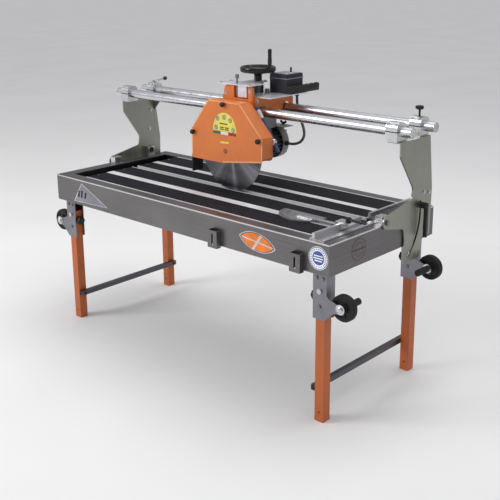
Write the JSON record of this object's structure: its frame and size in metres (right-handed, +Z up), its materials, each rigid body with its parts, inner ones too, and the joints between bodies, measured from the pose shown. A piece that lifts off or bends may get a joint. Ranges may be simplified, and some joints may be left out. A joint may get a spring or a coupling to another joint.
{
  "type": "tile cutter",
  "caption": "Bridge wet saw for tiles: a blade head rolls along chrome tubes over a slatted water tray on folding legs, with tilt, depth handwheel, fence and protractor.",
  "frame": {"origin": "on the floor, under the middle of the machine's outline", "axes": "+X along the tray and the bridge tubes towards the fence, +Y away from the operator, +Z up"},
  "size_m": [1.768, 0.747, 1.299],
  "materials": {
    "brushed_tray": "brushed along the length",
    "dark_steel": "dull",
    "slat_rubber": "matte, finely ribbed",
    "satin_aluminium": "satin",
    "zinc": "zinc plated",
    "bright_cast": "polished cast",
    "black_rubber": "matte",
    "black_plastic": "satin",
    "orange_paint": "smooth gloss paint",
    "wheel_rubber": "matte with a moulded hub",
    "upright_steel": "brushed",
    "chrome_tube": "polished",
    "black_motor": "semi-gloss paint",
    "motor_cowl": "satin paint",
    "laser_body": "gloss",
    "blade_steel": "turned finish"
  },
  "bodies": {
    "table": {"tray_basin": "brushed_tray", "table_crossbars": "dark_steel", "table_slats": "slat_rubber", "table_strips": "satin_aluminium", "table_screws": "zinc", "hook_pockets": "brushed_tray", "stop_fence": "satin_aluminium", "pivot_blocks": "bright_cast", "tilt_studs": "zinc", "leg_brackets": "zinc", "bracket_bolts": "zinc", "lift_grips": "black_rubber", "water_pump": "black_plastic"},
    "protractor_slide": {"protractor_carrier": "bright_cast"},
    "protractor": {"protractor_plate": "bright_cast"},
    "protractor_lever": {"protractor_latch": "black_plastic"},
    "left_leg_frame": {"left_legs": "orange_paint", "left_crossbar": "dark_steel"},
    "right_leg_frame": {"right_legs": "orange_paint", "right_crossbar": "dark_steel"},
    "left_locks": {"left_lock_knobs": "black_plastic"},
    "right_locks": {"right_lock_knobs": "black_plastic"},
    "front_left_wheel": {"wheel_front_left": "wheel_rubber"},
    "front_right_wheel": {"wheel_front_right": "wheel_rubber"},
    "rear_left_wheel": {"wheel_rear_left": "wheel_rubber"},
    "rear_right_wheel": {"wheel_rear_right": "wheel_rubber"},
    "bridge": {"upright_left": "upright_steel", "upright_right": "upright_steel", "bridge_tubes": "chrome_tube", "tube_clamps": "bright_cast"},
    "star": {"star_knob": "black_plastic"},
    "ball": {"ball_lever": "black_plastic"},
    "left_tilt_lever": {"tilt_lever_left": "black_plastic"},
    "right_tilt_lever": {"tilt_lever_right": "black_plastic"},
    "carriage": {"carriage_frame": "orange_paint", "carriage_shelf": "satin_aluminium", "guide_block": "dark_steel", "stop_plate": "satin_aluminium", "front_fork": "orange_paint", "switch_box": "black_plastic", "push_grip": "black_rubber"},
    "depth_stop": {"stop_screw": "zinc"},
    "left_roller_set": {"left_rollers": "dark_steel"},
    "right_roller_set": {"right_rollers": "dark_steel"},
    "hand_wheel": {"handwheel": "black_plastic"},
    "wheel_grip": {"handwheel_grip": "black_plastic"},
    "toggle": {"switch_toggle": "zinc"},
    "head": {"lift_slide": "upright_steel", "lift_screw": "zinc", "motor_housing": "black_motor", "fan_cowl": "motor_cowl", "guard_shell": "orange_paint", "guard_cover": "orange_paint", "guard_knobs": "black_plastic", "splash_flap": "black_rubber", "line_laser": "laser_body", "motor_lead": "black_rubber", "water_hose": "black_rubber"},
    "blade": {"blade_disc": "blade_steel", "blade_arbor": "dark_steel"}
  },
  "joints": [
    {"name": "bridge_tilt", "type": "hinge", "parent": "table", "child": "bridge", "pos_m": [0, -0.0125, 0.714], "axis": [1, 0, 0], "range_deg": [0, 45]},
    {"name": "carriage_slide", "type": "slide", "parent": "bridge", "child": "carriage", "axis": [1, 0, 0], "range_m": [-0.49, 0.54]},
    {"name": "left_roller_turn", "type": "hinge", "parent": "carriage", "child": "left_roller_set", "pos_m": [-0.065, 0.1575, 1.0772], "axis": [0, 1, 0], "range_deg": [-2015, 2220]},
    {"name": "right_roller_turn", "type": "hinge", "parent": "carriage", "child": "right_roller_set", "pos_m": [0.081, 0.1575, 1.0772], "axis": [0, 1, 0], "range_deg": [-2015, 2220]},
    {"name": "handwheel_turn", "type": "hinge", "parent": "carriage", "child": "hand_wheel", "pos_m": [0.008, 0.1575, 1.178], "axis": [0, 0, 1], "range_deg": [-1621, 2161]},
    {"name": "handwheel_grip_spin", "type": "hinge", "parent": "hand_wheel", "child": "wheel_grip", "pos_m": [0.076, 0.1575, 1.258], "axis": [0, 0, 1], "continuous": true},
    {"name": "head_lift", "type": "slide", "parent": "carriage", "child": "head", "axis": [0, 0, 1], "range_m": [-0.045, 0.06], "deforming": ["motor_lead", "water_hose"]},
    {"name": "blade_spin", "type": "hinge", "parent": "head", "child": "blade", "pos_m": [0.008, -0.0125, 0.88], "axis": [0, 1, 0], "continuous": true},
    {"name": "depth_stop_turn", "type": "hinge", "parent": "carriage", "child": "depth_stop", "pos_m": [0.006, 0.0285, 1.148], "axis": [0, 0, 1], "range_deg": [-720, 720]},
    {"name": "toggle_tip", "type": "hinge", "parent": "carriage", "child": "toggle", "pos_m": [0.116, 0.2495, 1.1975], "axis": [1, 0, 0], "range_deg": [-15, 15]},
    {"name": "star_knob_turn", "type": "hinge", "parent": "bridge", "child": "star", "pos_m": [0.771, 0.2375, 1.079], "axis": [0, 0, 1], "range_deg": [-360, 360]},
    {"name": "ball_lever_turn", "type": "hinge", "parent": "bridge", "child": "ball", "pos_m": [-0.771, 0.2375, 1.079], "axis": [0, 0, 1], "range_deg": [0, 90]},
    {"name": "left_tilt_lever_turn", "type": "hinge", "parent": "table", "child": "left_tilt_lever", "pos_m": [-0.826, 0.21226, 0.73762], "axis": [1, 0, 0], "range_deg": [0, 90]},
    {"name": "right_tilt_lever_turn", "type": "hinge", "parent": "table", "child": "right_tilt_lever", "pos_m": [0.826, 0.21226, 0.73762], "axis": [1, 0, 0], "range_deg": [0, 90]},
    {"name": "left_leg_fold", "type": "hinge", "parent": "table", "child": "left_leg_frame", "pos_m": [-0.742, -0.0125, 0.518], "axis": [0, -1, 0], "range_deg": [0, 90]},
    {"name": "right_leg_fold", "type": "hinge", "parent": "table", "child": "right_leg_frame", "pos_m": [0.742, -0.0125, 0.518], "axis": [0, 1, 0], "range_deg": [0, 90]},
    {"name": "left_lock_pull", "type": "slide", "parent": "left_leg_frame", "child": "left_locks", "axis": [1, 0, 0], "range_m": [0, 0.006], "stiffness_N_per_m": 1500},
    {"name": "right_lock_pull", "type": "slide", "parent": "right_leg_frame", "child": "right_locks", "axis": [-1, 0, 0], "range_m": [0, 0.006], "stiffness_N_per_m": 1500},
    {"name": "protractor_slide_move", "type": "slide", "parent": "table", "child": "protractor_slide", "axis": [0, 1, 0], "range_m": [-0.14, 0.095]},
    {"name": "protractor_swing", "type": "hinge", "parent": "protractor_slide", "child": "protractor", "pos_m": [0.52, -0.1625, 0.712], "axis": [0, 0, 1], "range_deg": [-45, 45]},
    {"name": "protractor_latch_turn", "type": "hinge", "parent": "protractor_slide", "child": "protractor_lever", "pos_m": [0.747, -0.1725, 0.75], "axis": [0, 0, 1], "range_deg": [-60, 60]},
    {"name": "front_left_wheel_spin", "type": "hinge", "parent": "table", "child": "front_left_wheel", "pos_m": [-0.834, -0.3025, 0.472], "axis": [0, 1, 0], "continuous": true},
    {"name": "front_right_wheel_spin", "type": "hinge", "parent": "table", "child": "front_right_wheel", "pos_m": [0.834, -0.3025, 0.472], "axis": [0, 1, 0], "continuous": true},
    {"name": "rear_left_wheel_spin", "type": "hinge", "parent": "table", "child": "rear_left_wheel", "pos_m": [-0.834, 0.2675, 0.472], "axis": [0, 1, 0], "continuous": true},
    {"name": "rear_right_wheel_spin", "type": "hinge", "parent": "table", "child": "rear_right_wheel", "pos_m": [0.834, 0.2675, 0.472], "axis": [0, 1, 0], "continuous": true}
  ],
  "couplings": [
    {"joint": "left_roller_turn", "follows": "carriage_slide", "rad_per_m": 71.429},
    {"joint": "right_roller_turn", "follows": "carriage_slide", "rad_per_m": 71.429},
    {"joint": "handwheel_turn", "follows": "head_lift", "rad_per_m": 628.32}
  ]
}
